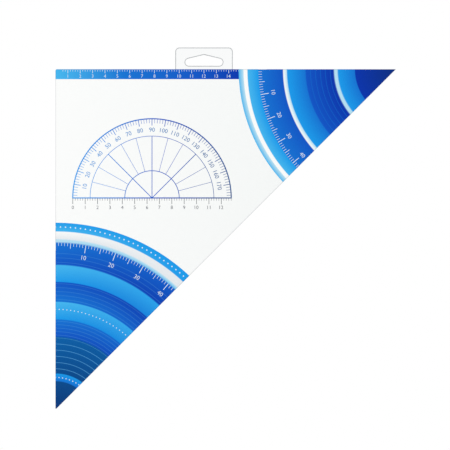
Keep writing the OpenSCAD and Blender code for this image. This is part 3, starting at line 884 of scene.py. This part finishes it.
def knob():
    """The fluted knob: a hub, a grip whose radius dips in a parabola at each of sixteen
    grooves, a rounded shoulder and a shallow dish in its top."""
    low, high = node_box("clamp_knob")
    y0, y1, grip = low[1], high[1], (high[0] - low[0]) / 2
    hub, hub_y, hub_soft, stud_r = grip - 2.5 * MM, y0 + 1.5 * MM, 0.2 * MM, 1.5 * MM
    bevel, shoulder_r, dish_r, dish = 0.5 * MM, 1.0 * MM, grip - 2.4 * MM, 0.7 * MM
    flutes, flute_half, flute_deep = 16, 0.85 * MM, 0.55 * MM
    flute_inset, flute_fade = 1.3 * MM, 1.0 * MM
    shoulder = [(grip - shoulder_r * (1 - math.cos(t)), y1 - shoulder_r * (1 - math.sin(t)))
                for t in np.linspace(0, QUARTER, 7)]
    bowl = [(dish_r * math.cos(t), y1 - dish * math.sin(t)) for t in np.linspace(0, QUARTER, 12)]
    bowl[-1] = (0.0, y1 - dish)
    under = [(0.0, y0), (stud_r, y0), (hub - hub_soft, y0), (hub, y0 + hub_soft), (hub, hub_y)]
    side = [(grip - bevel, hub_y), (grip, hub_y + bevel)]
    side += [(grip, y) for y in np.linspace(hub_y + bevel, y1 - shoulder_r, 8)[1:-1]]
    profile = under + side + shoulder + bowl
    radii = np.array(profile)[:, 0]
    strength = np.clip((radii - (grip - flute_inset)) / flute_fade, 0, 1)
    strength[:len(under)] = 0

    def grooves(row, angle):
        """A parabola in the distance round the rim from the nearest groove's middle."""
        step = FULL_TURN / flutes
        offset = (angle / step - np.round(angle / step)) * step * grip
        return flute_deep * strength[row] * np.clip(1 - (offset / flute_half) ** 2, 0, 1)

    piece = turned("fluted_knob", profile, clamp, flutes * 14, grooves)
    finish_piece(piece, "knob", [KNOB_WHITE], ["clamp_knob"])


def brass_heads():
    """The hinge's rivet with its two flat heads, and the clamp's flanged insert. Each
    stays a hair clear of the plastic around it, and its rims are softened."""
    low, high = node_box("hinge_rivet")
    cap_low, cap_high = node_box("hinge_cap")
    head, under_y = (high[0] - low[0]) / 2 - CLEAR, low[1] + RIVET_HEAD_T - CLEAR
    shank = RIVET_R - CLEAR
    soft = 0.12 * MM
    rivet = [(0.0, low[1] + CLEAR), (head - soft, low[1] + CLEAR), (head, low[1] + soft),
             (head, under_y), (shank, under_y), (shank, high[1] - soft),
             (shank - soft, high[1] - CLEAR), (0.0, high[1] - CLEAR)]
    bore, cap_y = shank + 2 * CLEAR, cap_high[1] - CLEAR
    ring = rounded([(bore, cap_low[1]), (head, cap_low[1]), (head, cap_y), (bore, cap_y)], soft)

    low, high = node_box("thread_insert")
    flange, flange_y = (high[0] - low[0]) / 2 - CLEAR, low[1] + FLANGE_T - CLEAR
    barrel, step_y = SLEEVE_R + SHOULDER_W - CLEAR, arc_low[1] - 0.1 * MM
    insert = [(STUD_BORE_R, low[1] + CLEAR), (flange - soft, low[1] + CLEAR),
              (flange, low[1] + soft), (flange, flange_y), (barrel, flange_y), (barrel, step_y),
              (SLEEVE_R, step_y), (SLEEVE_R, high[1] - soft), (SLEEVE_R - soft, high[1]),
              (STUD_BORE_R, high[1]), (STUD_BORE_R, low[1] + CLEAR)]
    for name, profile, centre, node in (
            ("rivet", rivet, pivot, "hinge_rivet"), ("rivet_cap", ring, pivot, "hinge_cap"),
            ("brass_insert", insert, clamp, "thread_insert")):
        finish_piece(turned(name, profile, centre), "square", [BRASS], [node])


def threaded_stud():
    """The clamp's screw: its radius falls and rises once along each pitch, and the whole
    pattern shifts by one pitch in a turn, which makes one helix. Its ends are plain."""
    low, high = node_box("clamp_stud")
    r, pitch, deep, plain = (high[0] - low[0]) / 2 - CLEAR, 0.5 * MM, 0.22 * MM, 0.6 * MM
    y = np.linspace(low[1] + CLEAR, high[1], int((high[1] - low[1]) / pitch) * 8)
    profile = [(0.0, y[0])] + [(r, v) for v in y] + [(0.0, y[-1])]
    depth = np.array([v for _, v in profile])
    fade = np.clip(np.minimum(depth - y[0], y[-1] - depth) / plain, 0, 1)
    fade[[0, -1]] = 0

    def helix(row, angle):
        """A cosine of the turns along the screw, less the turns round it."""
        phase = depth[row] / pitch - angle / FULL_TURN
        return deep * fade[row] * (0.5 - 0.5 * np.cos(FULL_TURN * phase))

    stud = turned("threaded_stud", profile, clamp, 40, helix)
    finish_piece(stud, "knob", [STEEL], ["clamp_stud"])


washer()
knob()
brass_heads()
threaded_stud()

# ------------------------------------------------------- the square's two plates


def softened(name, node, body, rounds):
    """The node's own solid with its doubles merged, its flat faces joined and some of
    its sharp edges rounded off. Each of rounds is a width and a test on the edges'
    middles, an array of X, Y and Z, that says which of them take it."""
    in_one_plane, sharp_from = math.radians(0.5), math.radians(50)
    work = bmesh.new()
    work.from_mesh(frame["nodes"][node].data)
    bmesh.ops.remove_doubles(work, verts=work.verts, dist=SAME)
    bmesh.ops.dissolve_limit(work, angle_limit=in_one_plane, verts=work.verts, edges=work.edges)
    sharp = [e for e in work.edges if e.is_manifold and e.calc_face_angle() > sharp_from]
    middles = np.array([(e.verts[0].co + e.verts[1].co) / 2 for e in sharp])
    level = np.array([abs(e.verts[0].co.y - e.verts[1].co.y) < SAME for e in sharp])
    taken = [(width, [e for e, yes in zip(sharp, level & test(middles)) if yes])
             for width, test in rounds]
    for width, edges in taken:
        bmesh.ops.bevel(work, geom=[e for e in edges if e.is_valid], offset=width, segments=2,
                        profile=0.5, affect="EDGES", clamp_overlap=False)
    bmesh.ops.triangulate(work, faces=work.faces)
    mesh = bpy.data.meshes.new(name)
    work.to_mesh(mesh)
    work.free()
    shade(mesh, 20)
    piece = add_object(name, mesh)
    by_side(piece)
    finish_piece(piece, body, ACRYLIC, [node])


def by_side(piece):
    """The first material on faces that look straight to the front or back, the second, a
    dark tint of painted shade, on the eased edges beside them, and the third on the milled sides."""
    straight = np.abs(facing(piece.data))
    order = np.int32(straight < FLAT) + np.int32(straight < SIDE)
    piece.data.polygons.foreach_set("material_index", order)


# the round end about the hinge, the index groove and the window, as the edges' tests need them
HINGE_END_R, GROOVE_BESIDE, WINDOW_SIDE, WINDOW_BELOW = 17 * MM, 0.6 * MM, 21 * MM, 11 * MM


def from_pivot(points):
    """Distance from the pivot's axis, and from its line along the arm on the body's
    side."""
    x, z = points[:, 0] - pivot[0], points[:, 2] - pivot[2]
    return np.hypot(x, z), (z - x) / math.sqrt(2)


def on_outer_faces(points):
    """Edges in the square's front or back face, clear of the fine index groove."""
    radius, _ = from_pivot(points)
    to_front, to_back = np.abs(points[:, 1] - square_low[1]), np.abs(points[:, 1] - square_high[1])
    outer = np.minimum(to_front, to_back) < 10 * SAME
    in_arc = radius < arc_out_r + GROOVE_BESIDE / 2
    return outer & (radius > HINGE_END_R) & (in_arc | ~near_index(points))


def near_index(points):
    """Edges beside the body's index line, seen from the front."""
    low, high = node_box("index_mark")
    inside = (points > low - GROOVE_BESIDE) & (points < high + GROOVE_BESIDE)
    return inside[:, 0] & inside[:, 2]


def round_the_window(points):
    """Edges of the body's see-through window, whose rims are eased for a fingertip."""
    radius, side = from_pivot(points)
    inside = (radius < arc_in_r - WINDOW_BELOW) & (side > WINDOW_SIDE)
    return on_outer_faces(points) & inside & (points[:, 2] < pivot[2] - WINDOW_BELOW)


softened("clear_body", "body_plate", "square", [
    (WINDOW_EASED, round_the_window),
    (EASED, lambda points: on_outer_faces(points) & ~round_the_window(points))])
softened("clear_arm", "swing_arm", "arm", [(EASED, on_outer_faces)])

# ----------------------------------------------------------- the protractor arc


# the arc's straight root and its two screws, off the pivot's line along the arm
ARC_ROOT, SCREW_INSET, SCREW_OFF = 12 * MM, 8.5 * MM, 5 * MM
SCREW_R, SCREW_HEAD_R, SCREW_HEAD_T = 1.1 * MM, 2.3 * MM, 0.8 * MM


def round_pivot(radius, angles):
    """Points at radius about the pivot, at the given angles."""
    return np.stack([pivot[0] + radius * np.cos(angles), pivot[2] + radius * np.sin(angles)], -1)


def arc_plate():
    """The arc: between two circles about the pivot, cut straight along its root on the
    arm and level at its far end, with a round-ended slot along the middle circle. It
    lies a hair clear of its seat, and the filled lines stand a hair proud of it."""
    far = arc_high[2] - pivot[2]
    inner, outer = arc_in_r + 10 * CLEAR, arc_out_r - 10 * CLEAR
    ends = [(arm_angle + math.asin(ARC_ROOT / r), HALF_TURN - math.asin(far / r))
            for r in (inner, outer)]
    rim = [round_pivot(r, np.linspace(*end, 121)) for r, end in zip((inner, outer), ends)]
    outline = np.concatenate([rim[0], rim[1][::-1]])
    edge_r, first, last = 0.1 * MM, zero_angle, zero_angle - swing
    first_end, last_end = round_pivot(scale_r, np.array([first, last]))
    from_inside, from_outside = math.degrees(first) + 180, math.degrees(last)
    slot = np.concatenate([
        round_pivot(scale_r - CLAMP_SLOT_R, np.linspace(last, first, 91)),
        arc_points(first_end, CLAMP_SLOT_R, from_inside, from_inside - 180)[1:-1],
        round_pivot(scale_r + CLAMP_SLOT_R, np.linspace(first, last, 91)),
        arc_points(last_end, CLAMP_SLOT_R, from_outside, from_outside - 180)[1:-1]])
    piece = plate("arc_plate", [wound(outline, 1), wound(slot, -1)], arc_low[1] + 4 * CLEAR,
                  arc_high[1] - CLEAR, edge_r, edge_r)
    by_side(piece)
    finish_piece(piece, "arm", ACRYLIC, ["protractor_arc"])


def scale_backing():
    """White bands behind the scales, in the gap under the arc: each lies between two
    circles about the pivot and runs a little past the scale at both ends."""
    past, from_edge, from_slot = math.radians(1.0), 0.5 * MM, CLAMP_SLOT_R + 0.6 * MM
    for name, low, high, end in (
            ("inner_backing", arc_in_r + from_edge, scale_r - from_slot, swing + past),
            ("outer_backing", scale_r + from_slot, arc_out_r - from_edge, swing + past / 2)):
        turn = np.linspace(zero_angle + past, zero_angle - end, 121)
        loop = np.concatenate([round_pivot(low, turn), round_pivot(high, turn)[::-1]])
        piece = plate(name, [wound(loop, 1)], arc_low[1] - 2 * CLEAR, arc_low[1] + 2 * CLEAR,
                      0.0, 0.0, steps=1)
        finish_piece(piece, "arm", [BACKING])


def wound(loop, way):
    """The outline turned to run anticlockwise (way 1) or clockwise (-1), by the sign of
    its area."""
    x, z = loop.T
    area = (x * np.roll(z, -1) - z * np.roll(x, -1)).sum()
    return loop if area * way > 0 else loop[::-1]


def root_screws():
    """Two flat-headed brass screws: a countersunk disc with a rounded rim and a slot
    across it that is pressed into the grid, over a plain shank."""
    low, high = node_box("arc_screws")
    head, shank, head_y = SCREW_HEAD_R - 2 * CLEAR, SCREW_R - CLEAR, high[1] - SCREW_HEAD_T
    soft, slot_half, slot_deep = 0.2 * MM, 0.3 * MM, 0.3 * MM
    slot_turn, top_rings, steps = 0.7, 16, 96
    profile = [(r, high[1]) for r in np.linspace(0, head - soft, top_rings)]
    profile += [(head, high[1] - soft), (head, head_y), (shank, head_y),
                (shank, low[1] + CLEAR), (0.0, low[1] + CLEAR)]
    out, depth = np.array(profile).T
    turn = np.linspace(0, FULL_TURN, steps, endpoint=False)
    row, col = np.meshgrid(np.arange(len(profile)), turn, indexing="ij")
    across = out[row] * np.sin(col - slot_turn)
    groove = (np.abs(across) < slot_half) & (row < top_rings)
    faces = quads(len(profile), steps, False, True)
    for index, radius in enumerate((arc_in_r + SCREW_INSET, arc_out_r - SCREW_INSET)):
        x, z = round_pivot(radius, arm_angle + math.asin(SCREW_OFF / radius))
        grid = about((x, 0, z), out[row], col, depth[row] - slot_deep * groove)
        piece = mesh_piece(f"root_screw_{index + 1}", grid, faces)
        finish_piece(piece, "arm", [BRASS], ["arc_screws"])


arc_plate()
scale_backing()
root_screws()

# ------------------------------------------------- numbers on the protractor arc


def arc_numbers():
    """Filled numbers beside the arc's three scales, which a reader behind sees upright
    with the pivot below them. A line that stands for an opening of d degrees lies d
    below the zero line."""
    def along(radius, openings, labels, height):
        """Labels on one circle, each with its top away from the pivot."""
        a = zero_angle - openings
        return [(str(label), x, z, height * MM, (math.cos(b), math.sin(b)))
                for label, (x, z), b in zip(labels, round_pivot(radius, a), a)]

    fill_t = 0.012 * MM
    fives, tens, inches = np.arange(0, 46, 5), np.arange(0, 101, 10), np.arange(13)
    degrees = along(arc_out_r - 9.7 * MM, np.radians(fives), fives, 3.0)
    others = along(scale_r + 5.2 * MM, np.radians(fives), 90 - fives, 2.0)
    slopes = along(arc_in_r + 7.4 * MM, np.arctan(tens / 100), tens, 2.5)
    rises = along(scale_r - 9.1 * MM, np.arctan(inches / 12), inches, 2.5)
    for name, marks in (("degree_numbers", degrees + others), ("slope_numbers", slopes),
                        ("rise_numbers", rises)):
        piece = numerals(name, marks, arc_high[1], 1, fill_t)
        finish_piece(piece, "arm", [LINE_FILL])


arc_numbers()

# ------------------------------------------------------- pieces kept from the frame

for node in ("degree_scale", "slope_scale", "rise_scale", "index_mark"):
    kept = frame["nodes"][node]
    kept.data.materials.clear()
    kept.data.materials.append(LINE_FILL)

# -------------------------------------------------------------- floor, light, camera

# the photograph's side in pixels, a pixel's size at the card and the slot's middle in it
PHOTO_SIDE = 450
PHOTO_MM = 0.808 * MM
SLOT_PIXEL = (203.98, 60.15)
FLOOR_SIZE, FLOOR_BELOW = 3.2, 0.13
# strength of the white surround for the eye, gloss and glass, and as light on the object
SEEN_WHITE, SURROUND_LIGHT = 1.0, 0.74
LAMP_SIZE, LAMP_WATTS = 1.6, 13


def studio():
    """A pale floor below the object, an even white surround and two large soft lamps, one
    in front of the object and one behind it."""
    floor_place = (0.0, 0.0, card_top - card_leg - FLOOR_BELOW)
    bpy.ops.mesh.primitive_plane_add(size=FLOOR_SIZE, location=floor_place)
    floor = bpy.context.object
    floor.name = "floor"
    pale = Shader("pale_floor")
    tone = pale.mix(pale.noise(3), srgb(246, 246, 246), srgb(250, 250, 250))
    pale.set(Base_Color=tone, Roughness=0.8)
    floor.data.materials.append(pale.material)

    world = bpy.data.worlds.new("studio")
    world.use_nodes = True
    bpy.context.scene.world = world
    nodes, links = world.node_tree.nodes, world.node_tree.links
    path, strength = nodes.new("ShaderNodeLightPath"), nodes.new("ShaderNodeMapRange")
    seen = nodes["Background"]
    seen.inputs["Color"].default_value = (1, 1, 1, 1)
    total = path.outputs["Is Camera Ray"]
    for ray in ("Is Glossy Ray", "Is Transmission Ray"):
        either = nodes.new("ShaderNodeMath")
        either.operation = "MAXIMUM"
        links.new(total, either.inputs[0])
        links.new(path.outputs[ray], either.inputs[1])
        total = either.outputs[0]
    strength.inputs["To Min"].default_value = SURROUND_LIGHT
    strength.inputs["To Max"].default_value = SEEN_WHITE
    links.new(total, strength.inputs["Value"])
    links.new(strength.outputs[0], seen.inputs["Strength"])
    soft_lamp("front_lamp", (-0.9, -1.9, 0.9), (64, 0, -25))
    soft_lamp("back_lamp", (0.9, 1.9, 0.9), (64, 0, 155))


def soft_lamp(name, place, turn):
    """A wide square lamp at a place, turned by three angles in degrees."""
    lamp = bpy.data.lights.new(name, "AREA")
    lamp.shape, lamp.size, lamp.energy = "SQUARE", LAMP_SIZE, LAMP_WATTS
    light = add_object(name, lamp)
    light.location = place
    light.rotation_euler = [math.radians(t) for t in turn]


def camera():
    """Looks straight at the printed face. A pixel at the face is PHOTO_MM wide, and the
    middle of the slot falls on its pixel in the photograph."""
    distance = 3.2
    shot = bpy.data.cameras.new("camera")
    shot.sensor_width = 36
    shot.lens = shot.sensor_width * distance / (PHOTO_SIDE * PHOTO_MM)
    eye = add_object("camera", shot)
    middle = PHOTO_SIDE / 2
    eye.location = ((middle - SLOT_PIXEL[0]) * PHOTO_MM, face_low[1] - distance,
                    (SLOT_PIXEL[1] - middle) * PHOTO_MM)
    eye.rotation_euler = (QUARTER, 0, 0)
    bpy.context.scene.camera = eye


studio()
camera()
bpy.context.scene.view_settings.view_transform = "Standard"
